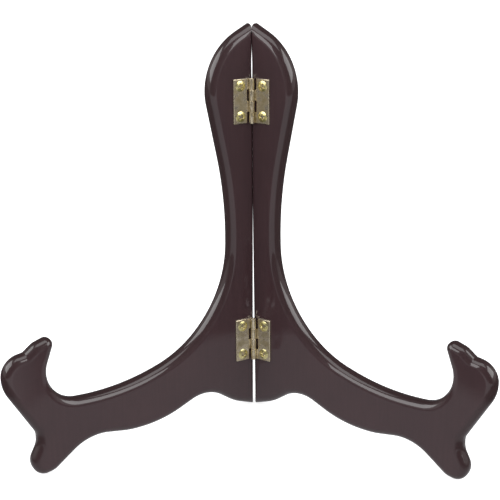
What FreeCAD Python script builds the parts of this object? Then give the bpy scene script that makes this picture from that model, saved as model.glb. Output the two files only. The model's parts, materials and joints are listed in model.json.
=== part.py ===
import FreeCAD, Part
import math
import os
import Sketcher

# A folding plate stand. Two boards of the same outline meet along a leaning seam and open into a V
# on two small butt hinges. Each hinge has two leaves of folded brass strip with two knuckles each,
# a pin, and four raised countersunk wood screws.
#
# Every piece is drawn in the frame of its half: X runs along the board away from the hinge pins,
# Y runs up the seam along the pin axis from the foot of the seam, and Z is square to the board.

SIZES = {
    # boards
    "seam_height": 178.8,
    "arm_reach": 120.1,
    "board_thickness": 8.0,
    "rim_radius": 3.0,
    "open_angle": 116.0,
    # seam edge
    "seam_foot_up": -0.8,
    "seam_edge_radius": 1.5,
    "seam_clearance": 0.01,
    "seam_relief": 0.65,
    "seam_relief_rise": 99.0,
    "seam_hollow": 0.25,
    "hollow_low_drop": 34.3,
    "hollow_mid_drop": 17.3,
    "hollow_high_drop": 9.3,
    "seam_ease_radius": 400.0,
    # hinges
    "hinge_height": 20.0,
    "leaf_width": 8.6,
    "leaf_thickness": 0.75,
    "leaf_corner_radius": 0.4,
    "barrel_diameter": 2.6,
    "barrel_clearance": 0.15,
    "knuckle_gap": 0.12,
    "knuckle_slot": 0.6,
    "upper_hinge_drop": 34.3,
    "lower_hinge_rise": 33.0,
    # pins
    "pin_diameter": 1.1,
    "pin_clearance": 0.05,
    "pin_proud": 0.15,
    "pin_chamfer": 0.2,
    # screws
    "screw_end_distance": 3.2,
    "screw_edge_distance": 3.4,
    "wood_under_screw": 2.25,
    "screw_head_diameter": 4.8,
    "screw_head_raise": 0.4,
    "screw_core_diameter": 1.7,
    "screw_thread_diameter": 2.4,
    "screw_pitch": 0.9,
    "screw_recess_width": 0.75,
    "screw_recess_span": 2.6,
    "screw_recess_depth": 0.9,
    "pilot_allowance": 0.6,
}

# Corners of the board, from the top of the seam outwards over the head, down the neck, along the arm,
# round the hook and the foot, and back under the arm to the foot of the seam. A corner stands at
# (share of arm_reach + across, share of seam_height + up) and is rounded to its radius.
CORNERS = [
    # name, share of reach, across, share of height, up, radius
    ("crown", 0.0, 15.2, 1.0, -9.8, 29.8),
    ("cheek", 0.0, 20.8, 1.0, -28.6, 29.3),
    ("waist", 0.0, 10.2, 0.5, 10.0, 179.0),
    ("flare", 0.0, 11.2, 0.0, 58.3, 57.2),
    ("shoulder", 0.25, 3.9, 0.0, 31.5, 52.2),
    ("forearm", 0.5, 7.2, 0.0, 20.0, 104.4),
    ("cradle", 1.0, -27.4, 0.0, 21.0, 13.9),
    ("hook_throat", 1.0, -18.0, 0.0, 32.3, 13.8),
    ("hook_nose", 1.0, -25.3, 0.0, 52.7, 3.1),
    ("hook_brow", 1.0, -14.8, 0.0, 49.1, 8.7),
    ("hook_crease", 1.0, -10.3, 0.0, 45.6, 1.0),
    ("lobe_top", 1.0, 0.5, 0.0, 43.5, 10.3),
    ("lobe_side", 1.0, 0.0, 0.0, 30.2, 17.7),
    ("ankle_top", 1.0, -14.0, 0.0, 7.7, 6.3),
    ("ankle_low", 1.0, -14.0, 0.0, 2.7, 8.2),
    ("toe", 1.0, -10.0, 0.0, -5.3, 6.7),
    ("sole", 1.0, -14.0, 0.0, -12.7, 5.6),
    ("heel", 1.0, -21.3, 0.0, -11.1, 8.7),
    ("instep", 1.0, -38.4, 0.0, 2.0, 22.3),
    ("belly", 0.5, 1.9, 0.0, -0.5, 43.5),
    ("underarm", 0.25, 15.8, 0.0, 0.5, 55.7),
    ("arch", 0.0, 22.4, 0.0, 11.5, 16.0),
    ("tail", 0.0, 8.1, 0.0, 2.1, 25.1),
]

HINGES = ("upper", "lower")
SIDES = {"left": -1, "right": 1}

# Sizes that follow from the sheet, as expressions that its objects evaluate.
FOLD = "((180 - Sizes.open_angle) / 2)"
AXIS_HEIGHT = "(Sizes.barrel_diameter / 2 + Sizes.barrel_clearance)"
KNUCKLE = "(Sizes.hinge_height / 4)"
SCREW_OUT = "(Sizes.leaf_width - Sizes.screw_edge_distance)"
SCREW_UP = "(Sizes.hinge_height / 2 - Sizes.screw_end_distance)"
SCREW_LENGTH = "(Sizes.board_thickness + Sizes.leaf_thickness - Sizes.wood_under_screw)"
HINGE_RISE = {"upper": "(Sizes.seam_height - Sizes.upper_hinge_drop)", "lower": "Sizes.lower_hinge_rise"}

# The front corners of the two seam edges meet when the stand is fully open, so the seam edge stands
# past the pin axis by what the fold angle, the axis height and the rounding of the corner ask for.
SEAM_EDGE = (
    f"((Sizes.seam_clearance - {AXIS_HEIGHT} * sin({FOLD})"
    f" - Sizes.seam_edge_radius * (cos({FOLD}) + sin({FOLD}) - 1)) / cos({FOLD}))"
)

doc = FreeCAD.newDocument("plate_stand")
sheet = doc.addObject("Spreadsheet::Sheet", "Sizes")


def fill_sheet():
    """Write every driving size into the sheet, one row each, with its name as the alias."""
    rows = dict(SIZES)
    for name, _, across, _, up, radius in CORNERS:
        rows[f"{name}_across"] = across
        rows[f"{name}_up"] = up
        rows[f"{name}_radius"] = radius
    for row, (alias, number) in enumerate(rows.items(), start=1):
        sheet.set(f"A{row}", alias)
        sheet.set(f"B{row}", str(number))
        sheet.setAlias(f"B{row}", alias)
    doc.recompute()


def value(expression):
    """The number that an expression on the sheet comes to."""
    return float(sheet.evalExpression(expression.replace("Sizes.", "")))


def board_corners():
    """Corners of the board outline as (name, x, y, radius) expressions, round to the seam edge."""
    corners = []
    for name, reach_share, _, height_share, _, _ in CORNERS:
        x = f"({reach_share} * Sizes.arm_reach + Sizes.{name}_across)"
        y = f"({height_share} * Sizes.seam_height + Sizes.{name}_up)"
        corners.append((name, x, y, f"Sizes.{name}_radius"))
    ease = "Sizes.seam_ease_radius"
    foot = f"({SEAM_EDGE} + Sizes.seam_relief)"
    hollow = f"({SEAM_EDGE} + Sizes.seam_hollow)"
    corners.append(("seam_foot", foot, "Sizes.seam_foot_up", None))
    corners.append(("seam_ease", SEAM_EDGE, "Sizes.seam_relief_rise", ease))
    corners.append(("hollow_low", SEAM_EDGE, "(Sizes.seam_height - Sizes.hollow_low_drop)", ease))
    corners.append(("hollow_mid", hollow, "(Sizes.seam_height - Sizes.hollow_mid_drop)", ease))
    corners.append(("hollow_high", SEAM_EDGE, "(Sizes.seam_height - Sizes.hollow_high_drop)", ease))
    corners.append(("seam_top", SEAM_EDGE, "Sizes.seam_height", None))
    return corners


def rounded_path(corners):
    """Points, turns and radii of a closed outline given as (name, x, y, radius) expressions.

    A radius is the named one, or less where its straight runs are too short for it."""
    points = [FreeCAD.Vector(value(x), value(y), 0) for _, x, y, _ in corners]
    count = len(points)
    headings = []
    for here, after in zip(points, points[1:] + points[:1]):
        headings.append(math.atan2(after.y - here.y, after.x - here.x))
    turns = [math.remainder(headings[i] - headings[i - 1], 2 * math.pi) for i in range(count)]
    radii = [value(radius) if radius else 0.0 for *_, radius in corners]
    trims = [radii[i] * math.tan(abs(turns[i]) / 2) for i in range(count)]
    squeezes = []
    for i in range(count):
        before = points[i - 1].distanceToPoint(points[i]) / max(trims[i - 1] + trims[i], 1e-9)
        after = points[i].distanceToPoint(points[(i + 1) % count])
        after = after / max(trims[i] + trims[(i + 1) % count], 1e-9)
        squeezes.append(min(1.0, 0.98 * before, 0.98 * after))
    return points, headings, turns, radii, squeezes


def corner_arc(point, heading, turn, radius):
    """The arc that rounds a corner, and the indices of the ends where the path enters and leaves."""
    bend = math.copysign(1.0, turn)
    trim = radius * math.tan(abs(turn) / 2)
    leave = point + trim * FreeCAD.Vector(math.cos(heading), math.sin(heading), 0)
    centre = leave + bend * radius * FreeCAD.Vector(-math.sin(heading), math.cos(heading), 0)
    last = math.atan2(leave.y - centre.y, leave.x - centre.x)
    first = last - turn
    circle = Part.Circle(centre, FreeCAD.Vector(0, 0, 1), radius)
    if turn > 0:
        return Part.ArcOfCircle(circle, first, last), 1, 2
    return Part.ArcOfCircle(circle, last, first), 2, 1


def draw_outline(sketch, corners):
    """Draw a closed outline of straight runs, tangent arcs at the rounded corners, all dimensioned.

    Each corner is a construction point held at its expressions; the runs pass through the corner
    points and the arcs are tangent to the runs."""
    points, headings, turns, radii, squeezes = rounded_path(corners)
    count = len(points)
    marks = [sketch.addGeometry(Part.Point(point), True) for point in points]
    arcs = {}
    ends = []
    for i in range(count):
        if radii[i] == 0:
            ends.append((points[i], points[i]))
            continue
        arc, enter, leave = corner_arc(points[i], headings[i], turns[i], squeezes[i] * radii[i])
        arcs[i] = (sketch.addGeometry(arc), enter, leave)
        ends.append((arc.StartPoint, arc.EndPoint) if enter == 1 else (arc.EndPoint, arc.StartPoint))
    runs = []
    for i in range(count):
        runs.append(sketch.addGeometry(Part.LineSegment(ends[i][1], ends[(i + 1) % count][0])))
    fixes = []
    names = {}
    for i, (name, x, y, radius) in enumerate(corners):
        run_in, run_out = runs[i - 1], runs[i]
        names[len(fixes)] = (f"{name}_x", x)
        fixes.append(Sketcher.Constraint("DistanceX", -1, 1, marks[i], 1, points[i].x))
        names[len(fixes)] = (f"{name}_y", y)
        fixes.append(Sketcher.Constraint("DistanceY", -1, 1, marks[i], 1, points[i].y))
        if i in arcs:
            arc, enter, leave = arcs[i]
            fixes.append(Sketcher.Constraint("PointOnObject", marks[i], 1, run_in))
            fixes.append(Sketcher.Constraint("PointOnObject", marks[i], 1, run_out))
            fixes.append(Sketcher.Constraint("Tangent", run_in, 2, arc, enter))
            fixes.append(Sketcher.Constraint("Tangent", run_out, 1, arc, leave))
            names[len(fixes)] = (f"{name}_r", f"{squeezes[i]:.4f} * {radius}")
            fixes.append(Sketcher.Constraint("Radius", arc, squeezes[i] * radii[i]))
        else:
            fixes.append(Sketcher.Constraint("Coincident", run_in, 2, marks[i], 1))
            fixes.append(Sketcher.Constraint("Coincident", run_out, 1, marks[i], 1))
    first = sketch.ConstraintCount
    sketch.addConstraint(fixes)
    for index, (name, expression) in names.items():
        sketch.renameConstraint(first + index, name)
        sketch.setExpression(f"Constraints.{name}", expression)


def new_sketch(body, name, plane, offset="0"):
    """A sketch on one of the body's origin planes, moved along the plane's normal."""
    sketch = body.newObject("Sketcher::SketchObject", f"{body.Name}_{name}")
    origin_plane = [f for f in body.Origin.OriginFeatures if f.Role == plane][0]
    sketch.AttachmentSupport = [(origin_plane, "")]
    sketch.MapMode = "FlatFace"
    sketch.AttachmentOffset = FreeCAD.Placement(FreeCAD.Vector(0, 0, value(offset)), FreeCAD.Rotation())
    sketch.setExpression("AttachmentOffset.Base.z", offset)
    return sketch


def draw_circles(sketch, spots, diameter):
    """Circles of one diameter at (name, x, y) spots."""
    for name, x, y in spots:
        centre = FreeCAD.Vector(value(x), value(y), 0)
        circle = sketch.addGeometry(Part.Circle(centre, FreeCAD.Vector(0, 0, 1), value(diameter) / 2))
        for kind, axis, number in (("DistanceX", "x", x), ("DistanceY", "y", y)):
            index = sketch.addConstraint(Sketcher.Constraint(kind, -1, 1, circle, 3, value(number)))
            sketch.renameConstraint(index, f"{name}_{axis}")
            sketch.setExpression(f"Constraints.{name}_{axis}", number)
        index = sketch.addConstraint(Sketcher.Constraint("Diameter", circle, value(diameter)))
        sketch.renameConstraint(index, f"{name}_diameter")
        sketch.setExpression(f"Constraints.{name}_diameter", diameter)


def new_body(label):
    """An empty body whose label is the name of the piece."""
    body = doc.addObject("PartDesign::Body", label)
    body.Label = label
    return body


def new_pad(body, name, sketch, length, symmetric=False, reversed_side=False):
    """Pad a sketch by a length, to one side of its plane or half to each side."""
    pad = body.newObject("PartDesign::Pad", f"{body.Name}_{name}")
    pad.Profile = sketch
    pad.SideType = "Symmetric" if symmetric else "One side"
    pad.Reversed = reversed_side
    pad.setExpression("Length", length)
    doc.recompute()
    return pad


def cut_through(body, name, sketch):
    """Cut a sketch right through the body to both sides of its plane."""
    pocket = body.newObject("PartDesign::Pocket", f"{body.Name}_{name}")
    pocket.Profile = sketch
    pocket.SideType = "Symmetric"
    pocket.Type = "ThroughAll"
    doc.recompute()
    return pocket


def drill(body, name, sketch, diameter, sink_diameter, depth, upwards):
    """Drill countersunk 90 degree holes at the circles of a sketch, through all or to a depth."""
    before = body.Shape.Volume
    hole = body.newObject("PartDesign::Hole", f"{body.Name}_{name}")
    hole.Profile = sketch
    doc.recompute()
    hole.Reversed = upwards
    hole.setExpression("Diameter", diameter)
    hole.HoleCutType = "Countersink"
    hole.HoleCutCustomValues = True
    hole.HoleCutCountersinkAngle = 90
    hole.setExpression("HoleCutDiameter", sink_diameter)
    if depth:
        hole.DepthType = "Dimension"
        hole.setExpression("Depth", depth)
    else:
        hole.DepthType = "ThroughAll"
    doc.recompute()
    if body.Shape.Volume >= before:
        raise RuntimeError(f"{hole.Name} removes nothing")
    return hole


def screw_spots(rises):
    """Where the two screws of a leaf stand, for each hinge height."""
    spots = []
    for tag, rise in rises.items():
        for end, way in (("top", "+"), ("bottom", "-")):
            spots.append((f"{tag}_{end}", SCREW_OUT, f"({rise} {way} {SCREW_UP})"))
    return spots


def face_edges(shape, box):
    """Names of the edges round a board's two faces: those of its rim, and those along the seam."""
    found = {"rim": [], "seam_edge": []}
    for index, edge in enumerate(shape.Edges, start=1):
        places = [vertex.Point for vertex in edge.Vertexes] + [edge.CenterOfMass]
        if any(max(abs(place.z - level) for place in places) < 1e-4 for level in (box.ZMin, box.ZMax)):
            along_seam = max(place.x for place in places) < 0
            found["seam_edge" if along_seam else "rim"].append(f"Edge{index}")
    return found


def make_board(side_name):
    """A board: the outline in solid wood, its rim rounded full and its seam edges less, four pilot holes."""
    side = SIDES[side_name]
    body = new_body(f"{side_name}_board")
    face = f"({-side} * {AXIS_HEIGHT})"
    outline = new_sketch(body, "outline", "XY_Plane", face)
    draw_outline(outline, board_corners())
    slab = new_pad(body, "slab", outline, "Sizes.board_thickness", reversed_side=side > 0)
    for tag in ("rim", "seam_edge"):
        below = body.Tip
        roundover = body.newObject("PartDesign::Fillet", f"{body.Name}_{tag}")
        roundover.Base = (below, face_edges(below.Shape, slab.Shape.BoundBox)[tag])
        roundover.setExpression("Radius", f"Sizes.{tag}_radius")
        doc.recompute()
    pilots = new_sketch(body, "pilots", "XY_Plane", face)
    draw_circles(pilots, screw_spots(HINGE_RISE), "Sizes.screw_core_diameter")
    sink = "(Sizes.screw_head_diameter - 2 * Sizes.leaf_thickness)"
    depth = f"({SCREW_LENGTH} - Sizes.leaf_thickness + Sizes.pilot_allowance)"
    drill(body, "pilot_holes", pilots, "Sizes.screw_core_diameter", sink, depth, side < 0)
    return body


def make_leaf(hinge, side_name):
    """A hinge leaf: a flat plate with two knuckles, notched for the other leaf's two, two screw holes."""
    side = SIDES[side_name]
    body = new_body(f"{hinge}_{side_name}_leaf")
    back = f"({-side} * {AXIS_HEIGHT})"
    front = f"({-side} * ({AXIS_HEIGHT} - Sizes.leaf_thickness))"
    section = new_sketch(body, "section", "XZ_Plane")
    draw_outline(section, [
        ("inner_back", "0", back, None),
        ("outer_back", "Sizes.leaf_width", back, None),
        ("outer_front", "Sizes.leaf_width", front, None),
        ("inner_front", "0", front, None),
    ])
    plate = new_pad(body, "plate", section, "Sizes.hinge_height", symmetric=True)
    tips = []
    for index, edge in enumerate(plate.Shape.Edges, start=1):
        middle = edge.CenterOfMass
        if abs(middle.x - value("Sizes.leaf_width")) < 1e-6 and abs(edge.tangentAt(edge.FirstParameter).z) > 0.99:
            tips.append(f"Edge{index}")
    corners = body.newObject("PartDesign::Fillet", f"{body.Name}_corners")
    corners.Base = (plate, tips)
    corners.setExpression("Radius", "Sizes.leaf_corner_radius")
    doc.recompute()
    curl = new_sketch(body, "curl", "XZ_Plane")
    draw_circles(curl, [("barrel", "0", "0")], "Sizes.barrel_diameter")
    new_pad(body, "barrel", curl, "Sizes.hinge_height", symmetric=True)
    notches = new_sketch(body, "notches", "XY_Plane")
    slot = "(Sizes.barrel_diameter / 2 + Sizes.knuckle_slot)"
    for tag, step in (("high", 0 if side < 0 else 1), ("low", -2 if side < 0 else -1)):
        low = f"({step} * {KNUCKLE} - Sizes.knuckle_gap / 2)"
        high = f"({step + 1} * {KNUCKLE} + Sizes.knuckle_gap / 2)"
        draw_outline(notches, [
            (f"{tag}_a", "(-Sizes.barrel_diameter)", low, None),
            (f"{tag}_b", slot, low, None),
            (f"{tag}_c", slot, high, None),
            (f"{tag}_d", "(-Sizes.barrel_diameter)", high, None),
        ])
    cut_through(body, "knuckle_notches", notches)
    bore = new_sketch(body, "bore", "XZ_Plane")
    play = "0" if side < 0 else "2 * Sizes.pin_clearance"
    draw_circles(bore, [("pin", "0", "0")], f"(Sizes.pin_diameter + {play})")
    cut_through(body, "pin_bore", bore)
    holes = new_sketch(body, "holes", "XY_Plane", front)
    spots = screw_spots({"leaf": "0"})
    draw_circles(holes, spots, "Sizes.screw_thread_diameter")
    sink = "Sizes.screw_head_diameter"
    drill(body, "screw_holes", holes, "Sizes.screw_thread_diameter", sink, None, side < 0)
    return body


def make_pin(hinge):
    """A hinge pin: a plain rod along the pin axis with chamfered ends that stand just proud."""
    body = new_body(f"{hinge}_pin")
    profile = new_sketch(body, "profile", "XY_Plane")
    end = "(Sizes.hinge_height / 2 + Sizes.pin_proud)"
    radius = "(Sizes.pin_diameter / 2)"
    draw_outline(profile, [
        ("bottom_centre", "0", f"(-{end})", None),
        ("bottom_rim", f"({radius} - Sizes.pin_chamfer)", f"(-{end})", None),
        ("bottom_side", radius, f"(Sizes.pin_chamfer - {end})", None),
        ("top_side", radius, f"({end} - Sizes.pin_chamfer)", None),
        ("top_rim", f"({radius} - Sizes.pin_chamfer)", end, None),
        ("top_centre", "0", end, None),
    ])
    spin = body.newObject("PartDesign::Revolution", f"{body.Name}_rod")
    spin.Profile = profile
    spin.ReferenceAxis = (profile, ["V_Axis"])
    spin.Angle = 360
    doc.recompute()
    return body


def make_screw(label):
    """A raised countersunk wood screw along Z, its head's edge at height 0: threads, cross recess."""
    body = new_body(label)
    profile = new_sketch(body, "profile", "XZ_Plane")
    head = "(Sizes.screw_head_diameter / 2)"
    core = "(Sizes.screw_core_diameter / 2)"
    crest = "(Sizes.screw_thread_diameter / 2)"
    neck = f"({core} - {head})"
    tip_start = f"({core} - {SCREW_LENGTH})"
    corners = [
        ("crown", "0", "Sizes.screw_head_raise", None),
        ("dome", f"(0.6 * {head})", "Sizes.screw_head_raise", f"(1.2 * {head})"),
        ("rim", head, "0", None),
        ("neck", core, neck, None),
    ]
    ridges = int((value(neck) - value(tip_start)) / value("Sizes.screw_pitch"))
    for ridge in range(ridges):
        top = f"({neck} - {ridge} * Sizes.screw_pitch)"
        corners.append((f"above_{ridge}", core, f"({top} - 0.2 * Sizes.screw_pitch)", None))
        corners.append((f"crest_{ridge}", crest, f"({top} - 0.6 * Sizes.screw_pitch)", None))
        corners.append((f"below_{ridge}", core, f"({top} - 0.8 * Sizes.screw_pitch)", None))
    corners.append(("shank_end", core, tip_start, None))
    corners.append(("tip", "0", f"(-{SCREW_LENGTH})", None))
    draw_outline(profile, corners)
    spin = body.newObject("PartDesign::Revolution", f"{body.Name}_turned")
    spin.Profile = profile
    spin.ReferenceAxis = (profile, ["V_Axis"])
    spin.Angle = 360
    doc.recompute()
    whole = body.Shape.Volume
    cross = new_sketch(body, "cross", "XY_Plane", "Sizes.screw_head_raise")
    arm = "(Sizes.screw_recess_span / 2)"
    half = "(Sizes.screw_recess_width / 2)"
    corners = []
    for name, x, y in (
        ("right_low", arm, f"(-{half})"), ("right_high", arm, half),
        ("inner_ne", half, half), ("top_right", half, arm),
        ("top_left", f"(-{half})", arm), ("inner_nw", f"(-{half})", half),
        ("left_high", f"(-{arm})", half), ("left_low", f"(-{arm})", f"(-{half})"),
        ("inner_sw", f"(-{half})", f"(-{half})"), ("bottom_left", f"(-{half})", f"(-{arm})"),
        ("bottom_right", half, f"(-{arm})"), ("inner_se", half, f"(-{half})"),
    ):
        corners.append((name, x, y, None))
    draw_outline(cross, corners)
    recess = body.newObject("PartDesign::Pocket", f"{body.Name}_recess")
    recess.Profile = cross
    recess.setExpression("Length", "Sizes.screw_recess_depth")
    doc.recompute()
    if body.Shape.Volume >= whole:
        raise RuntimeError(f"{recess.Name} removes nothing")
    return body


def ground_slope():
    """Slope, in the plane of a board, of the line that the seam's foot and the sole both stand on.

    Each is a rounded corner, and the line is tangent to the two arcs from below."""
    corners = board_corners()
    points, headings, turns, radii, squeezes = rounded_path(corners)
    arcs = {}
    for i, corner in enumerate(corners):
        if corner[0] in ("seam_foot", "sole"):
            arc = corner_arc(points[i], headings[i], turns[i], squeezes[i] * radii[i])[0]
            arcs[corner[0]] = (arc.Center, arc.Radius)
    inner, inner_radius = arcs["seam_foot"]
    outer, outer_radius = arcs["sole"]
    run = outer - inner
    drop = math.atan2(inner.y - outer.y, run.x)
    return drop + math.asin((outer_radius - inner_radius) / run.Length)


def stand_up(bodies):
    """Unfold each half about the pins, lean the seam back onto its feet and set it on the ground.

    Looking from the front, X is to the right, Y is to the back and Z is up."""
    fold = math.radians(value(FOLD))
    lean = math.degrees(math.atan(math.tan(ground_slope()) / math.sin(fold)))
    x_axis, y_axis, z_axis = (FreeCAD.Vector(*axis) for axis in ((1, 0, 0), (0, 1, 0), (0, 0, 1)))
    turn_about = FreeCAD.Rotation
    half = {
        "right": turn_about(z_axis, -math.degrees(fold)),
        "left": turn_about(z_axis, 180 + math.degrees(fold)),
    }
    for body, side_name, spot, flip in bodies:
        upright = turn_about(x_axis, 90)
        turned = turn_about(x_axis, -lean) * half[side_name] * upright
        place = FreeCAD.Placement(turned.multVec(spot), turned)
        if flip:
            place = place * FreeCAD.Placement(FreeCAD.Vector(), turn_about(y_axis, 180))
        body.Placement = place
    doc.recompute()
    whole = Part.makeCompound([body.Shape for body, *_ in bodies]).optimalBoundingBox(False, False)
    shift = FreeCAD.Vector(0, -whole.Center.y, -whole.ZMin)
    for body, *_ in bodies:
        body.Placement = FreeCAD.Placement(shift, FreeCAD.Rotation()) * body.Placement
    doc.recompute()
    return lean, shift


def build():
    """Make every piece with its half, its spot in that half's frame, and whether it faces round."""
    bodies = []
    for side_name, side in SIDES.items():
        bodies.append((make_board(side_name), side_name, FreeCAD.Vector(), False))
        leaf_front = -side * value(f"({AXIS_HEIGHT} - Sizes.leaf_thickness)")
        for hinge in HINGES:
            rise = value(HINGE_RISE[hinge])
            bodies.append((make_leaf(hinge, side_name), side_name, FreeCAD.Vector(0, rise, 0), False))
            for name, x, y in screw_spots({f"{hinge}_{side_name}_screw": HINGE_RISE[hinge]}):
                spot = FreeCAD.Vector(value(x), value(y), leaf_front)
                bodies.append((make_screw(name), side_name, spot, side < 0))
    for hinge in HINGES:
        spot = FreeCAD.Vector(0, value(HINGE_RISE[hinge]), 0)
        bodies.append((make_pin(hinge), "left", spot, False))
    return bodies


def check_and_write(bodies):
    """Stop on any object that failed; otherwise write each piece to its own STEP file."""
    for thing in doc.Objects:
        if "Invalid" in thing.State or "Error" in thing.State:
            raise RuntimeError(f"{thing.Name} failed: {thing.State}")
    for body, *_ in bodies:
        if body.Shape.isNull() or not body.Shape.isValid() or len(body.Shape.Solids) != 1:
            raise RuntimeError(f"{body.Label} is not one valid solid")
    os.makedirs("parts", exist_ok=True)
    for body, *_ in bodies:
        body.Shape.exportStep(f"parts/{body.Label}.step")
        print(f"{body.Label}: {body.Shape.Volume:.2f} mm3")


fill_sheet()
pieces = build()
lean_angle, ground_shift = stand_up(pieces)
check_and_write(pieces)
box = Part.makeCompound([piece[0].Shape for piece in pieces]).optimalBoundingBox(False, False)
print(f"lean {lean_angle:.4f} degrees, pin axis through y {ground_shift.y:.4f}, z {ground_shift.z:.4f}")
print(f"box {box.XLength:.2f} x {box.YLength:.2f} x {box.ZLength:.2f} mm")
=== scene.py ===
import json
import math

import bmesh
import bpy
import numpy as np
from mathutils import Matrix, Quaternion, Vector
from mathutils.geometry import delaunay_2d_cdt


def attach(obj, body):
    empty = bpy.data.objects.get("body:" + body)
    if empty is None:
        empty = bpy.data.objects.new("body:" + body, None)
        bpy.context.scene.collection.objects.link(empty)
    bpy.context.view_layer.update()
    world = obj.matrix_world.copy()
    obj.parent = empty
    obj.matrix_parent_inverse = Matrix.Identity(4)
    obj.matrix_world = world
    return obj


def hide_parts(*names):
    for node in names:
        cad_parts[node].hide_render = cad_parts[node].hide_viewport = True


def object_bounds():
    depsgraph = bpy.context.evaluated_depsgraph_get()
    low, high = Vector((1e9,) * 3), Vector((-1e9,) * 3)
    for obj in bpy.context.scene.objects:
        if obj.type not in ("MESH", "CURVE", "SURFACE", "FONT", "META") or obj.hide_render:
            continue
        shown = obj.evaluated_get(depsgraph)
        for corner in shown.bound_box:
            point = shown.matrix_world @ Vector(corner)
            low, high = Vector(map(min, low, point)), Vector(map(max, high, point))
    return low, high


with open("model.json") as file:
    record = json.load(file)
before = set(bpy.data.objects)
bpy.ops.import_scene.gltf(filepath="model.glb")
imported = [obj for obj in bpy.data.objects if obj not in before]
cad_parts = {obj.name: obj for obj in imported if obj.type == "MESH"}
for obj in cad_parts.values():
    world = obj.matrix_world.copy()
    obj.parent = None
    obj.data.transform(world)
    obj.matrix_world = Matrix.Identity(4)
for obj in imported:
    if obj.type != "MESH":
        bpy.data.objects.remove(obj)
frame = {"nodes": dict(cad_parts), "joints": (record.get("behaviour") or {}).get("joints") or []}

cad_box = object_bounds()
scene = bpy.context.scene
scene.view_settings.view_transform = "Standard"
MM = 0.001


# The camera: a long lens on a stand in front of the open V, a little above it and looking down into it,
# turned by a hair so that the seam does not stand quite upright.
AIM = Vector(frame["joints"][0]["pos_m"]) + Vector((-0.00133, 0.01568, 0.07407))
DISTANCE = 0.6257
AZIMUTH = math.radians(3.007)
ELEVATION = math.radians(28.27)
ROLL = math.radians(-1.083)

camera = bpy.data.objects.new("camera", bpy.data.cameras.new("camera"))
scene.collection.objects.link(camera)
camera.data.lens = 99.01
camera.data.sensor_width = 36.0
camera.data.clip_start = 0.01
level = math.cos(ELEVATION)
eye = Vector((math.sin(AZIMUTH) * level, -math.cos(AZIMUTH) * level, math.sin(ELEVATION)))
camera.location = AIM + DISTANCE * eye
camera.rotation_mode = "QUATERNION"
camera.rotation_quaternion = (-eye).to_track_quat("-Z", "Y") @ Quaternion((0, 0, 1), ROLL)
scene.camera = camera


# The table and the room: a wide white table top in a white room, which is all that the camera sees.
# In mirror reflections the table is a pool of light with a lit wedge in front, and only the room's sides
# are lit: a stand-in for the studio. Distances in metres from the origin.
FLOOR_HALF = 6.0
POOL_INNER = 0.12
POOL_OUTER = 0.155
POOL_GLOW = 0.52
FAR_GLOW = 0.08
WEDGE_SLOPE = 0.85
WEDGE_START = -0.1
WEDGE_FULL = -0.16
WEDGE_GLOW = 0.75


def new_material(name):
    """An empty node material: its nodes, its links and its output node."""
    material = bpy.data.materials.new(name)
    material.use_nodes = True
    tree = material.node_tree
    tree.nodes.clear()
    output = tree.nodes.new("ShaderNodeOutputMaterial")
    return material, tree, output


def node(tree, kind, inputs=None, **settings):
    """A new node with its settings, and its inputs set to values or linked from sockets."""
    made = tree.nodes.new("ShaderNode" + kind)
    for key, setting in settings.items():
        setattr(made, key, setting)
    for key, given in (inputs or {}).items():
        if isinstance(given, bpy.types.NodeSocket):
            tree.links.new(given, made.inputs[key])
        else:
            made.inputs[key].default_value = given
    return made


floor_material, tree, output = new_material("white_table")
rays = node(tree, "LightPath")
spot = node(tree, "TexCoord").outputs["Object"]
reach = node(tree, "VectorMath", {0: spot}, operation="LENGTH").outputs["Value"]
pool = node(tree, "MapRange", {
    "Value": reach, "From Min": POOL_INNER, "From Max": POOL_OUTER, "To Min": POOL_GLOW, "To Max": FAR_GLOW,
}, interpolation_type="SMOOTHSTEP").outputs["Result"]
split = node(tree, "SeparateXYZ", {"Vector": spot})
aside = node(tree, "Math", {0: split.outputs["X"]}, operation="ABSOLUTE").outputs["Value"]
behind = node(tree, "Math", {
    0: aside, 1: WEDGE_SLOPE, 2: split.outputs["Y"],
}, operation="MULTIPLY_ADD").outputs["Value"]
front_light = node(tree, "MapRange", {
    "Value": behind, "From Min": WEDGE_START, "From Max": WEDGE_FULL, "To Min": 0.0, "To Max": WEDGE_GLOW,
}, interpolation_type="SMOOTHSTEP").outputs["Result"]
shine = node(tree, "Math", {0: pool, 1: front_light}, operation="MAXIMUM").outputs["Value"]
lit = node(tree, "BsdfDiffuse", {"Color": (0.62, 0.62, 0.62, 1.0)}).outputs["BSDF"]
glow = node(tree, "Emission", {"Color": (1.0, 1.0, 1.0, 1.0), "Strength": 0.78}).outputs["Emission"]
table_top = node(tree, "AddShader", {0: lit, 1: glow}).outputs["Shader"]
mirrored = node(tree, "Emission", {"Color": (0.97, 0.97, 1.0, 1.0), "Strength": shine}).outputs["Emission"]
seen = node(tree, "MixShader", {0: rays.outputs["Is Glossy Ray"], 1: table_top, 2: mirrored})
tree.links.new(seen.outputs["Shader"], output.inputs["Surface"])

floor_mesh = bpy.data.meshes.new("table_top")
floor_mesh.from_pydata(
    [(x * FLOOR_HALF, y * FLOOR_HALF, 0.0) for x, y in ((-1, -1), (1, -1), (1, 1), (-1, 1))],
    [], [(0, 1, 2, 3)],
)
floor_mesh.materials.append(floor_material)
floor = bpy.data.objects.new("table_top", floor_mesh)
scene.collection.objects.link(floor)

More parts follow.
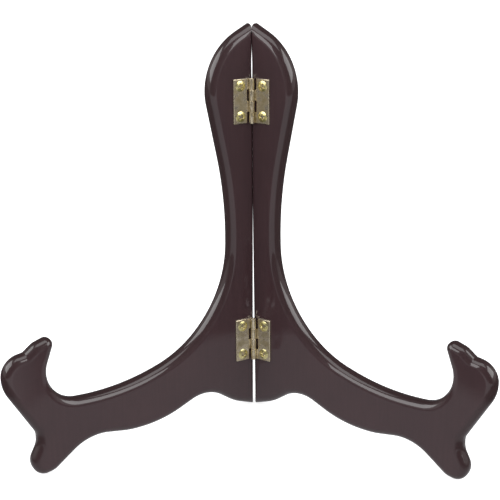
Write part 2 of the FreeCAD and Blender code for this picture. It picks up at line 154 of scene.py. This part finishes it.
world = bpy.data.worlds.new("room")
world.use_nodes = True
tree = world.node_tree
tree.nodes.clear()
rays = node(tree, "LightPath")
walls = node(tree, "Background", {"Color": (1.0, 1.0, 1.0, 1.0), "Strength": 1.0}).outputs["Background"]
air = node(tree, "Background", {"Color": (0.97, 0.98, 1.0, 1.0), "Strength": 0.55}).outputs["Background"]
direction = node(tree, "TexCoord").outputs["Generated"]
across = node(tree, "SeparateXYZ", {"Vector": direction}).outputs["X"]
sideways = node(tree, "Math", {0: across}, operation="ABSOLUTE").outputs["Value"]
side_walls = node(tree, "MapRange", {
    "Value": sideways, "From Min": 0.55, "From Max": 0.95, "To Min": 0.1, "To Max": 0.5,
}, interpolation_type="SMOOTHSTEP").outputs["Result"]
dim = node(tree, "Background", {
    "Color": (1.0, 0.96, 0.95, 1.0), "Strength": side_walls,
}).outputs["Background"]
bounced = node(tree, "MixShader", {0: rays.outputs["Is Glossy Ray"], 1: air, 2: dim}).outputs["Shader"]
seen = node(tree, "MixShader", {0: rays.outputs["Is Camera Ray"], 1: bounced, 2: walls})
node(tree, "OutputWorld", {"Surface": seen.outputs["Shader"]})
scene.world = world


# The lamps: soft boxes on stands. One hangs over the stand and one looks down from each side, which draws
# the bright bands on the board edges. Brightness is the radiance of the cloth.
def softbox(name, place, aim, width, height, brightness):
    """A rectangular area lamp at place, turned to aim, whose cloth has the given brightness."""
    lamp = bpy.data.lights.new(name, "AREA")
    lamp.shape = "RECTANGLE"
    lamp.size = width
    lamp.size_y = height
    lamp.energy = brightness * math.pi * width * height
    stand = bpy.data.objects.new(name, lamp)
    stand.location = place
    stand.rotation_mode = "QUATERNION"
    stand.rotation_quaternion = (Vector(aim) - Vector(place)).to_track_quat("-Z", "Y")
    stand.visible_camera = False
    scene.collection.objects.link(stand)


middle = (cad_box[0] + cad_box[1]) / 2
softbox("overhead_softbox", (0.0, -0.05, 1.1), middle, 0.8, 0.6, 2.2)
for side_name, way in (("left", -1), ("right", 1)):
    softbox(f"{side_name}_softbox", (way * 0.8, -0.22, 0.7), middle, 1.15, 0.7, 3.6)


# The two boards: 8 mm hardwood sawn to one outline, every edge rounded over, stained, and dipped in
# dark mahogany lacquer that is rubbed to a high gloss. The rounded rims carry painted shade: the colour
# is mixed darker towards the middle of each rim.
joint = frame["joints"][0]
AXIS_POINT = np.array(joint["pos_m"])
SEAM = np.array(joint["axis"])
FOLD = math.radians((180 + joint["range_deg"][0]) / 2)
LEAN = math.atan2(SEAM[1], SEAM[2])
SEAM_HEIGHT = 178.8
ARM_REACH = 120.1
BOARD_THICKNESS = 8.0
RIM_RADIUS = 3.6
SEAM_EDGE_RADIUS = 1.5
AXIS_HEIGHT = 1.45
SEAM_CLEARANCE = 0.0
SEAM_RELIEF = 0.65
SEAM_HOLLOW = 0.25
SEAM_EASE = 400.0
SEAM_EDGE = (
    SEAM_CLEARANCE - AXIS_HEIGHT * math.sin(FOLD) - SEAM_EDGE_RADIUS * (math.cos(FOLD) + math.sin(FOLD) - 1)
) / math.cos(FOLD)

# Corners in millimetres, out from the pins and up the seam, each with the radius that rounds it.
BOARD_CORNERS = [
    (15.2, SEAM_HEIGHT - 9.8, 29.8),  # crown
    (20.8, SEAM_HEIGHT - 28.6, 29.3),  # cheek
    (10.2, SEAM_HEIGHT / 2 + 10.0, 179.0),  # waist
    (11.2, 58.3, 57.2),  # flare
    (ARM_REACH / 4 + 3.9, 31.5, 52.2),  # shoulder
    (ARM_REACH / 2 + 7.2, 20.0, 104.4),  # forearm
    (ARM_REACH - 27.4, 21.0, 13.9),  # cradle
    (ARM_REACH - 18.0, 32.3, 13.8),  # hook throat
    (ARM_REACH - 25.3, 52.7, 3.1),  # hook nose
    (ARM_REACH - 14.8, 49.1, 8.7),  # hook brow
    (ARM_REACH - 10.3, 45.6, 1.0),  # hook crease
    (ARM_REACH + 0.5, 43.5, 10.3),  # lobe top
    (ARM_REACH, 30.2, 17.7),  # lobe side
    (ARM_REACH - 14.0, 7.7, 6.3),  # ankle top
    (ARM_REACH - 14.0, 2.7, 8.2),  # ankle low
    (ARM_REACH - 10.0, -5.3, 6.7),  # toe
    (ARM_REACH - 14.0, -12.7, 5.6),  # sole
    (ARM_REACH - 21.3, -11.1, 8.7),  # heel
    (ARM_REACH - 38.4, 2.0, 22.3),  # instep
    (ARM_REACH / 2 + 1.9, -0.5, 43.5),  # belly
    (ARM_REACH / 4 + 15.8, 0.5, 55.7),  # underarm
    (22.4, 11.5, 16.0),  # arch
    (8.1, 2.1, 25.1),  # tail
    (SEAM_EDGE + SEAM_RELIEF, -0.8, 0.0),  # seam foot
    (SEAM_EDGE, 96.0, SEAM_EASE),  # end of the seam's relief
    (SEAM_EDGE, SEAM_HEIGHT - 34.3, SEAM_EASE),  # hollow, low end
    (SEAM_EDGE + SEAM_HOLLOW, SEAM_HEIGHT - 17.3, SEAM_EASE),  # hollow, deepest
    (SEAM_EDGE, SEAM_HEIGHT - 12.0, SEAM_EASE),  # hollow, high end
    (SEAM_EDGE, SEAM_HEIGHT - 1.0, 0.0),  # top of the seam
]
HINGE_RISE = {"upper": SEAM_HEIGHT - 34.3, "lower": 33.0}
SCREW_OUT = 5.2
SCREW_UP = 6.8
LEAF_THICKNESS = 0.75
SCREW_CORE = 0.85
PILOT_DEPTH = 6.35


def half_place(points, way):
    """Points in millimetres (out from the pins, up the seam, towards the front) put in the room.

    The out direction is level ground turned forwards by the fold angle, and all is leaned back with
    the seam, which is the joint's own axis."""
    cos_fold, sin_fold = math.cos(FOLD), math.sin(FOLD)
    cos_lean, sin_lean = math.cos(LEAN), math.sin(LEAN)
    out = (way * cos_fold, -sin_fold * cos_lean, sin_fold * sin_lean)
    front = (-way * sin_fold, -cos_fold * cos_lean, cos_fold * sin_lean)
    return AXIS_POINT + MM * points @ np.array([out, SEAM, front])


def rounded_outline(corners, seam_runs=range(0), step=math.radians(1.5)):
    """A closed clockwise outline of straight runs and arcs: place, outward normal, reach and two ways.

    The arc at a corner of radius r starts r tan(turn / 2) before it, and r shrinks where the runs
    are too short. Along the arc the normal turns evenly from one run's to the next one's, and the
    place is the arc's centre plus or minus r times the normal. Reach is how far a point can move
    inwards along its normal before a round corner has shrunk to a point. The ways are how it moves
    from there for each unit that the rim's runs, and the seam's runs, move inwards: for normals m
    and n of a corner's two runs, whose product is c, run m's way is (m - c n) / (1 - c c)."""
    corner = np.array([(x, y) for x, y, _ in corners])
    runs = np.roll(corner, -1, axis=0) - corner
    length = np.hypot(*runs.T)
    heading = np.arctan2(runs[:, 1], runs[:, 0])
    turn = heading - np.roll(heading, 1)
    turn = (turn + math.pi) % (2 * math.pi) - math.pi
    radius = np.array([r for _, _, r in corners])
    trim = radius * np.tan(abs(turn) / 2)
    after = length / np.maximum(trim + np.roll(trim, -1), 1e-9)
    radius = radius * np.minimum(1.0, 0.98 * np.minimum(after, np.roll(after, 1)))
    parts = []
    for i in range(len(corners)):
        bearings = np.linspace(heading[i] - turn[i], heading[i], max(2, math.ceil(abs(turn[i]) / step) + 1))
        normals = np.stack([-np.sin(bearings), np.cos(bearings)], axis=1)
        first, last = normals[0], normals[-1]
        product = first @ last
        convex = turn[i] < 0
        bend = radius[i] if convex else -radius[i]
        places = corner[i] - bend * (first + last) / (1 + product) + bend * normals
        reach = radius[i] if convex or radius[i] == 0 else math.inf
        ways = np.zeros((2, 2))
        for run, own, other in ((i - 1, first, last), (i, last, first)):
            ways[int(run % len(corners) in seam_runs)] += (own - product * other) / (1 - product * product)
        count = len(bearings)
        parts.append((places, normals, np.full(count, reach), np.tile(ways, (count, 1, 1))))
    return [np.concatenate(column) for column in zip(*parts)]


def inset(outline, rim_depth, seam_depth):
    """The outline with its rim and seam moved inwards: along the normals up to the reach, then the ways.

    A depth is a column of numbers, one for each ring that is wanted."""
    places, normals, reach, ways = outline
    along_seam = abs(ways[:, 1]).sum(axis=1) > abs(ways[:, 0]).sum(axis=1)
    straight = np.minimum(np.where(along_seam, seam_depth, rim_depth), reach)[..., None]
    straight = np.where((reach > 0)[:, None], straight, 0)
    rim_rest = np.maximum(rim_depth - reach, 0)[..., None]
    seam_rest = np.maximum(seam_depth - reach, 0)[..., None]
    return places - straight * normals - rim_rest * ways[:, 0] - seam_rest * ways[:, 1]


def grid_faces(rows, columns, first=0):
    """Quads of a grid of vertices, row after row, whose columns close round."""
    index = first + np.arange(rows * columns).reshape(rows, columns)
    after = np.roll(index, -1, axis=1)
    return np.stack([index[:-1], after[:-1], after[1:], index[1:]], axis=-1).reshape(-1, 4).tolist()


def cap_faces(points, loops):
    """Triangles that fill a flat face between its outer loop and the loops of its holes."""
    order = np.concatenate(loops)
    starts = np.cumsum([0] + [len(loop) for loop in loops])
    edges = []
    for start, end in zip(starts[:-1], starts[1:]):
        edges += [(k, k + 1 if k + 1 < end else start) for k in range(start, end)]
    filled = delaunay_2d_cdt([Vector(points[k][:2]) for k in order], edges, [], 2, 1e-9)
    source = [order[found[0]] for found in filled[3]]
    return [tuple(source[k] for k in face) for face in filled[2]]


def round_over(radius, drop):
    """How far inside the outline a rounded edge is at a drop below the face: r - sqrt(r^2 - (r - drop)^2)."""
    short = np.maximum(radius - drop, 0)
    return radius - np.sqrt(radius * radius - short * short)


def slab(outline, front, back, front_radii, back_radii, holes=(), steps=15, rest=0.3):
    """A flat plate cut to an outline: its edge profile carried round the outline, and its two faces.

    Each pair of radii rounds the rim and the seam. The rings lie r (1 - cos a) below a face for the
    larger r at even angles a, and one more lies on each face, a rest inside the rounding. Each
    hole is (x, y, [(radius, height), ...]), a profile turned about the spot from the front down.
    Gives the points, the faces, and for each point how far it is round a rounded edge, from 0 to 1."""
    sweep = np.linspace(0, math.pi / 2, steps)
    front_drop = max(front_radii) * (1 - np.cos(sweep))
    back_drop = max(back_radii) * (1 - np.cos(sweep[::-1]))
    height = np.concatenate([[front], front - front_drop, back + back_drop, [back]])
    # How far round a rounded edge each ring lies, from 0 to 1. On the boards the lacquer turns this into
    # painted shade on the rims; on the brass it is rubbed wear.
    worn = np.concatenate([[0.0], np.sin(sweep), np.sin(sweep[::-1]), [0.0]])
    depths = [
        np.concatenate([
            [front_radii[k] + rest], round_over(front_radii[k], front_drop),
            round_over(back_radii[k], back_drop), [back_radii[k] + rest],
        ])[:, None]
        for k in (0, 1)
    ]
    ring = inset(outline, *depths)
    rows, columns = ring.shape[:2]
    heights = np.broadcast_to(np.reshape(height, (-1, 1, 1)), (rows, columns, 1))
    points = [np.concatenate([ring, heights], axis=2).reshape(-1, 3)]
    shade = [np.repeat(worn, columns)]
    faces = grid_faces(rows, columns)
    front_loops = [np.arange(columns)]
    back_loops = [np.arange(columns) + (rows - 1) * columns]
    count = rows * columns
    around = np.linspace(0, 2 * math.pi, 48, endpoint=False)
    for x, y, profile in holes:
        radii, levels = np.array(profile).T
        wall = np.stack([
            x + np.outer(radii, np.cos(around)),
            y + np.outer(radii, np.sin(around)),
            np.outer(levels, np.ones_like(around)),
        ], axis=-1)
        points.append(wall.reshape(-1, 3))
        shade.append(np.zeros(wall.size // 3))
        faces += grid_faces(len(radii), len(around), count)
        front_loops.append(count + np.arange(len(around)))
        if radii[-1] > 0:
            back_loops.append(count + (len(radii) - 1) * len(around) + np.arange(len(around)))
        count += wall.size // 3
    points = np.concatenate(points)
    faces += cap_faces(points, front_loops)
    faces += cap_faces(points, back_loops)
    return points, faces, np.concatenate(shade)


def make_piece(name, points, faces, way, material, crease=40, **shades):
    """A piece from points in its half's own frame: merged, turned outwards, smooth below the crease angle.

    Each shade is a number for every point and becomes an attribute that the material reads, and so
    do the points' own places in the half, in metres, as "half_place"."""
    mesh = bpy.data.meshes.new(name)
    mesh.from_pydata(half_place(points, way).tolist(), [], faces)
    own = mesh.attributes.new("half_place", "FLOAT_VECTOR", "POINT")
    own.data.foreach_set("vector", (MM * points).astype(np.float32).ravel())
    for shade, numbers in shades.items():
        layer = mesh.attributes.new(shade, "FLOAT", "POINT")
        layer.data.foreach_set("value", np.asarray(numbers, np.float32))
    shell = bmesh.new()
    shell.from_mesh(mesh)
    bmesh.ops.remove_doubles(shell, verts=shell.verts, dist=2e-7)
    bmesh.ops.dissolve_degenerate(shell, edges=shell.edges, dist=1e-7)
    bmesh.ops.recalc_face_normals(shell, faces=shell.faces)
    shell.to_mesh(mesh)
    shell.free()
    mesh.polygons.foreach_set("use_smooth", [True] * len(mesh.polygons))
    mesh.set_sharp_from_angle(angle=math.radians(crease))
    mesh.materials.append(material)
    piece = bpy.data.objects.new(name, mesh)
    scene.collection.objects.link(piece)
    return piece


def fit(piece, side_name, cad_node):
    """Set a finished piece in the frame: it rides on its half and stands for its CAD node."""
    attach(piece, f"{side_name}_half")
    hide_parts(cad_node)


lacquer, tree, output = new_material("dark_mahogany_lacquer")
own = node(tree, "Attribute", attribute_name="half_place").outputs["Vector"]
# The rim attribute: on the boards it only carries painted shade, not wear.
worn = node(tree, "Attribute", attribute_name="worn").outputs["Fac"]
along = node(tree, "Mapping", {"Vector": own, "Scale": (1.0, 0.06, 1.0)}).outputs["Vector"]
grain = node(tree, "TexNoise", {"Vector": along, "Scale": 900.0, "Detail": 5.0, "Roughness": 0.6})
cloud = node(tree, "TexNoise", {"Vector": own, "Scale": 28.0, "Detail": 3.0, "Roughness": 0.55})
stain = node(tree, "MixRGB", {
    "Fac": cloud.outputs["Fac"],
    "Color1": (0.023, 0.0102, 0.0125, 1.0), "Color2": (0.037, 0.0150, 0.0170, 1.0),
}).outputs["Color"]
figure = node(tree, "MapRange", {
    "Value": grain.outputs["Fac"], "From Min": 0.3, "From Max": 0.7, "To Min": 0.93, "To Max": 1.07,
}).outputs["Result"]
body = node(tree, "VectorMath", {0: stain, 1: figure}, operation="MULTIPLY").outputs["Vector"]
# Painted shade: towards the middle of each rounded rim the colour is mixed up to 0.7 of the way to a darker
# brown, so the rims look shaded.
painted_rim_shade = node(tree, "Math", {0: worn, 1: 0.7}, operation="MULTIPLY").outputs["Value"]
colour = node(tree, "MixRGB", {"Fac": painted_rim_shade, "Color1": body, "Color2": (0.016, 0.0065, 0.0065, 1.0)})
peel = node(tree, "TexNoise", {"Vector": own, "Scale": 420.0, "Detail": 2.0}).outputs["Fac"]
sag = node(tree, "TexNoise", {"Vector": own, "Scale": 55.0, "Detail": 1.0}).outputs["Fac"]
waves = node(tree, "Bump", {"Height": sag, "Strength": 0.05, "Distance": 0.0012}).outputs["Normal"]
skin = node(tree, "Bump", {
    "Height": peel, "Strength": 0.06, "Distance": 0.0002, "Normal": waves,
}).outputs["Normal"]
dull = node(tree, "MapRange", {
    "Value": grain.outputs["Fac"], "To Min": 0.38, "To Max": 0.55,
}).outputs["Result"]
surface = node(tree, "BsdfPrincipled", {
    "Base Color": colour.outputs["Color"], "Roughness": dull, "Specular IOR Level": 0.2,
    "Coat Weight": 1.0, "Coat Roughness": 0.035, "Coat IOR": 1.5, "Coat Normal": skin, "Normal": skin,
})
tree.links.new(surface.outputs["BSDF"], output.inputs["Surface"])

seam_foot, seam_top = len(BOARD_CORNERS) - 6, len(BOARD_CORNERS) - 1
board_outline = rounded_outline(BOARD_CORNERS, range(seam_foot, seam_top))
pilots = []
for rise in HINGE_RISE.values():
    for way in (1, -1):
        pilots.append((SCREW_OUT, rise + way * SCREW_UP, [
            (SCREW_CORE + 0.8, -AXIS_HEIGHT), (SCREW_CORE, -AXIS_HEIGHT - 0.8),
            (SCREW_CORE, -AXIS_HEIGHT - PILOT_DEPTH), (0.0, -AXIS_HEIGHT - PILOT_DEPTH - 0.3),
        ]))
# The slab's third result darkens the boards' rims in the lacquer as painted shade.
board_points, board_faces, board_worn = slab(
    board_outline, -AXIS_HEIGHT, -AXIS_HEIGHT - BOARD_THICKNESS,
    (RIM_RADIUS, SEAM_EDGE_RADIUS), (RIM_RADIUS, SEAM_EDGE_RADIUS), pilots,
)
for side_name, way in (("left", -1), ("right", 1)):
    board = make_piece(
        f"{side_name}_lacquered_board", board_points, board_faces, way, lacquer, worn=board_worn,
    )
    fit(board, side_name, f"{side_name}_board")


# The hinge leaves: 0.75 mm brass strip, blanked, its rims rolled soft by the die, and two tongues of each
# leaf curled round the pin into knuckles. The curl does not close, which leaves a thin line at its root.
HINGE_HEIGHT = 20.0
KNUCKLE = HINGE_HEIGHT / 4
KNUCKLE_GAP = 0.12
LEAF_WIDTH = 8.6
LEAF_CORNER = 0.4
LEAF_FRONT = LEAF_THICKNESS - AXIS_HEIGHT
BARREL_RADIUS = 1.3
SLOT_EDGE = BARREL_RADIUS + 0.6
PIN_RADIUS = 0.55
HEAD_RADIUS = 2.4
LEAF_ROLL = 0.32


def leaf_outline(tongues):
    """The blank of a leaf, clockwise: a plate whose tongues, from the bottom up, reach under the barrel."""
    half, root = HINGE_HEIGHT / 2, 0.3
    corners = [(LEAF_WIDTH, half, LEAF_CORNER), (LEAF_WIDTH, -half, LEAF_CORNER)]
    if tongues[0][0] > -half:
        corners.append((SLOT_EDGE, -half, 0.0))
    for low, high in tongues:
        if low > -half:
            corners.append((SLOT_EDGE, low, 0.0))
        corners += [(root, low, 0.0), (root, high, 0.0)]
        if high < half:
            corners.append((SLOT_EDGE, high, 0.0))
    if tongues[-1][1] < half:
        corners.append((SLOT_EDGE, half, 0.0))
    return corners


def curl(low, high, steps=72):
    """A knuckle: a ring of strip from under the barrel round its far side to a slit above the plate.

    The ring's section is walked once round, out along its outer radius and back along its inner
    one, and is carried from low to high; near each end the outer radius eases in by a quarter circle."""
    sweep = np.radians(np.linspace(-60, -385, steps))
    radius = np.concatenate([np.full(steps, BARREL_RADIUS), np.full(steps, PIN_RADIUS + 0.02)])
    angle = np.concatenate([sweep, sweep[::-1]])
    ease = 0.14
    turn = np.linspace(0, math.pi / 2, 6)
    level = np.concatenate([low + ease * (1 - np.cos(turn)), high - ease * (1 - np.cos(turn[::-1]))])
    pull = ease * (1 - np.sin(np.concatenate([turn, turn[::-1]])))
    section = radius - np.outer(pull, np.where(radius > 1, 1.0, 0.0))
    points = np.stack([
        section * np.cos(angle), np.outer(level, np.ones_like(angle)), section * np.sin(angle),
    ], axis=-1)
    rows, columns = section.shape
    faces = grid_faces(rows, columns)
    k = np.arange(steps - 1)
    strip = np.stack([k, k + 1, columns - 2 - k, columns - 1 - k], axis=1)
    faces += strip.tolist() + (strip + (rows - 1) * columns).tolist()
    return points.reshape(-1, 3), faces, np.repeat(pull / ease, columns)


def brass_material(name, bright, tarnish, patches, dullness, shine, grit):
    """Brass between a bright and a tarnished colour, in patches of a size, with worn bright rims."""
    material, tree, output = new_material(name)
    own = node(tree, "Attribute", attribute_name="half_place").outputs["Vector"]
    worn = node(tree, "Attribute", attribute_name="worn").outputs["Fac"]
    cloud = node(tree, "TexNoise", {"Vector": own, "Scale": patches, "Detail": 4.0, "Roughness": 0.6})
    patchy = node(tree, "MapRange", {
        "Value": cloud.outputs["Fac"], "From Min": 0.3, "From Max": 0.75,
    }, interpolation_type="SMOOTHSTEP").outputs["Result"]
    rubbed = node(tree, "Math", {0: worn, 1: 1.0}, operation="MULTIPLY").outputs["Value"]
    clean = node(tree, "Math", {0: patchy, 1: rubbed}, operation="MAXIMUM").outputs["Value"]
    colour = node(tree, "MixRGB", {"Fac": clean, "Color1": (*tarnish, 1.0), "Color2": (*bright, 1.0)})
    rolled = node(tree, "Mapping", {"Vector": own, "Scale": (1.0, 0.12, 1.0)}).outputs["Vector"]
    lines = node(tree, "TexNoise", {"Vector": rolled, "Scale": 5200.0, "Detail": 3.0}).outputs["Fac"]
    dull = node(tree, "MapRange", {
        "Value": clean, "To Min": dullness, "To Max": shine,
    }).outputs["Result"]
    bumps = node(tree, "Bump", {"Height": lines, "Strength": grit, "Distance": 0.00004}).outputs["Normal"]
    surface = node(tree, "BsdfPrincipled", {
        "Base Color": colour.outputs["Color"], "Metallic": 1.0, "Roughness": dull, "Normal": bumps,
    })
    tree.links.new(surface.outputs["BSDF"], output.inputs["Surface"])
    return material


strip_brass = brass_material(
    "tarnished_strip_brass", (0.98, 0.87, 0.66), (0.50, 0.41, 0.24), 300.0, 0.36, 0.2, 0.35,
)
left_tongues = [
    (KNUCKLE_GAP / 2 - KNUCKLE, -KNUCKLE_GAP / 2),
    (KNUCKLE + KNUCKLE_GAP / 2, HINGE_HEIGHT / 2),
]
right_tongues = [(-high, -low) for low, high in reversed(left_tongues)]
screw_holes = []
for way in (1, -1):
    screw_holes.append((SCREW_OUT, way * SCREW_UP, [
        (HEAD_RADIUS + 0.04, LEAF_FRONT), (HEAD_RADIUS + 0.04 - LEAF_THICKNESS, -AXIS_HEIGHT),
    ]))
for side_name, way, tongues in (("left", -1, left_tongues), ("right", 1, right_tongues)):
    plate = slab(
        rounded_outline(leaf_outline(tongues)), LEAF_FRONT, -AXIS_HEIGHT,
        (LEAF_ROLL, LEAF_ROLL), (0.05, 0.05), screw_holes, steps=9, rest=0.06,
    )
    parts = [plate] + [curl(low, high) for low, high in tongues]
    starts = np.cumsum([0] + [len(points) for points, _, _ in parts])
    points = np.concatenate([points for points, _, _ in parts])
    faces = []
    for start, (_, own_faces, _) in zip(starts, parts):
        faces += [tuple(int(start + k) for k in face) for face in own_faces]
    shade = np.concatenate([worn for _, _, worn in parts])
    for hinge, rise in HINGE_RISE.items():
        leaf = make_piece(
            f"{hinge}_{side_name}_curled_leaf", points + (0, rise, 0), faces, way, strip_brass, worn=shade,
        )
        fit(leaf, side_name, f"{hinge}_{side_name}_leaf")


# The hinge pins: brass wire cut to the height of the knuckles and peened over a little at both ends,
# pressed into the left leaf's knuckles and running free in the right leaf's.
PIN_PROUD = 0.15
PIN_CHAMFER = 0.2


def turned(radii, levels, columns=48):
    """A round piece: radius and height pairs turned once round, as rows of points about the origin."""
    around = np.linspace(0, 2 * math.pi, columns, endpoint=False)
    return np.stack([
        np.outer(radii, np.cos(around)), np.outer(radii, np.sin(around)),
        np.outer(levels, np.ones_like(around)),
    ], axis=-1)


pin_brass = brass_material(
    "drawn_wire_brass", (0.9, 0.78, 0.58), (0.6, 0.5, 0.32), 900.0, 0.4, 0.25, 0.2,
)
arc = np.linspace(0, math.pi / 2, 7)
pin_end = HINGE_HEIGHT / 2 + PIN_PROUD
cap_radii = PIN_RADIUS - PIN_CHAMFER * (1 - np.sin(arc))
cap_levels = pin_end - PIN_CHAMFER * (1 - np.cos(arc))
pin_radii = np.concatenate([[0.0], cap_radii, cap_radii[::-1], [0.0]])
pin_levels = np.concatenate([[pin_end], cap_levels, -cap_levels[::-1], [-pin_end]])
rod = turned(pin_radii, pin_levels)
rod_points = rod.reshape(-1, 3)[:, [0, 2, 1]]
for hinge, rise in HINGE_RISE.items():
    pin = make_piece(
        f"{hinge}_peened_pin", rod_points + (0, rise, 0), grid_faces(*rod.shape[:2]), -1, pin_brass,
        worn=np.repeat(np.where(abs(pin_levels) > HINGE_HEIGHT / 2 - 0.1, 0.8, 0.0), rod.shape[1]),
    )
    fit(pin, "left", f"{hinge}_pin")


# The screws: small raised countersunk brass wood screws with a cross recess, four to a hinge. Each was
# driven home by hand, so every recess stops at its own angle.
HEAD_RAISE = 0.4
THREAD_RADIUS = 1.2
SCREW_PITCH = 0.9
SCREW_LENGTH = 6.5
RECESS_HALF_WIDTH = 0.36
RECESS_REACH = 1.35
RECESS_DEPTH = 0.85


def screw_surface(turn, columns=120):
    """A screw about the origin, its head's rim at height 0, as rows of points.

    The head is a dome of raise (1 - (r / R) to the 2.4) less a cross whose arms are full depth at the
    middle and run out along a quarter ellipse; the shank's radius swells once a pitch along a helix."""
    dome_radii = HEAD_RADIUS * np.linspace(0, 0.985, 36)
    dome_levels = HEAD_RAISE * (1 - (dome_radii / HEAD_RADIUS) ** 2.4)
    neck = SCREW_CORE - HEAD_RADIUS
    rim_radii = np.array([HEAD_RADIUS, HEAD_RADIUS, HEAD_RADIUS - 0.06])
    rim_levels = np.array([0.0, -0.03, -0.09])
    cone_radii = np.linspace(HEAD_RADIUS - 0.09, SCREW_CORE, 6)
    cone_levels = np.linspace(-0.12, neck, 6)
    tip_start = SCREW_CORE - SCREW_LENGTH
    shank_levels = np.linspace(neck, tip_start, 46)[1:]
    tip_levels = np.linspace(tip_start, -SCREW_LENGTH, 9)[1:]
    radii = np.concatenate([
        dome_radii, rim_radii, cone_radii, np.full(45, SCREW_CORE), tip_levels + SCREW_LENGTH,
    ])
    levels = np.concatenate([dome_levels, rim_levels, cone_levels, shank_levels, tip_levels])
    points = turned(radii, levels, columns)
    around = np.linspace(0, 2 * math.pi, columns, endpoint=False)
    phase = (levels[:, None] - neck) / SCREW_PITCH + around / (2 * math.pi)
    ridge = np.clip(1 - abs(phase % 1 - 0.5) / 0.3, 0, 1)
    room = np.clip((neck - levels) / 0.5, 0, 1) * np.clip((levels + SCREW_LENGTH) / 1.2, 0, 1)
    swell = 1 + ridge * room[:, None] * (THREAD_RADIUS - SCREW_CORE) / SCREW_CORE
    points[..., :2] *= np.where(levels[:, None] < neck, swell, 1.0)[..., None]
    across = points[..., 0] * math.cos(turn) + points[..., 1] * math.sin(turn)
    beside = points[..., 1] * math.cos(turn) - points[..., 0] * math.sin(turn)
    cut = 0
    for run, off in ((across, beside), (beside, across)):
        depth = np.sqrt(np.clip(1 - (run / RECESS_REACH) ** 2, 0, 1))
        wall = np.clip((RECESS_HALF_WIDTH - abs(off)) / 0.14 + 0.5, 0, 1)
        cut = np.maximum(cut, depth * wall * wall * (3 - 2 * wall))
    points[..., 2] -= RECESS_DEPTH * cut * (levels[:, None] > 0)
    rim = np.exp(-(((radii - HEAD_RADIUS) / 0.12) ** 2)) * (levels > -0.2)
    return points, np.maximum(rim[:, None], (cut > 0.02) * (cut < 0.5) * (levels[:, None] > 0))


screw_brass = brass_material(
    "yellow_screw_brass", (0.96, 0.88, 0.48), (0.66, 0.58, 0.22), 500.0, 0.34, 0.2, 0.15,
)
turns = np.random.default_rng(7).uniform(0.1, 1.4, 8)
for number, cad_name in enumerate(sorted(name for name in frame["nodes"] if "_screw_" in name)):
    hinge, side_name, _, end = cad_name.split("_")
    way = 1 if side_name == "right" else -1
    points, shade = screw_surface(turns[number])
    rise = HINGE_RISE[hinge] + (SCREW_UP if end == "top" else -SCREW_UP)
    screw = make_piece(
        f"{hinge}_{side_name}_cross_screw_{end}", points.reshape(-1, 3) + (SCREW_OUT, rise, LEAF_FRONT),
        grid_faces(*points.shape[:2]), way, screw_brass, worn=shade.ravel(),
    )
    fit(screw, side_name, cad_name)
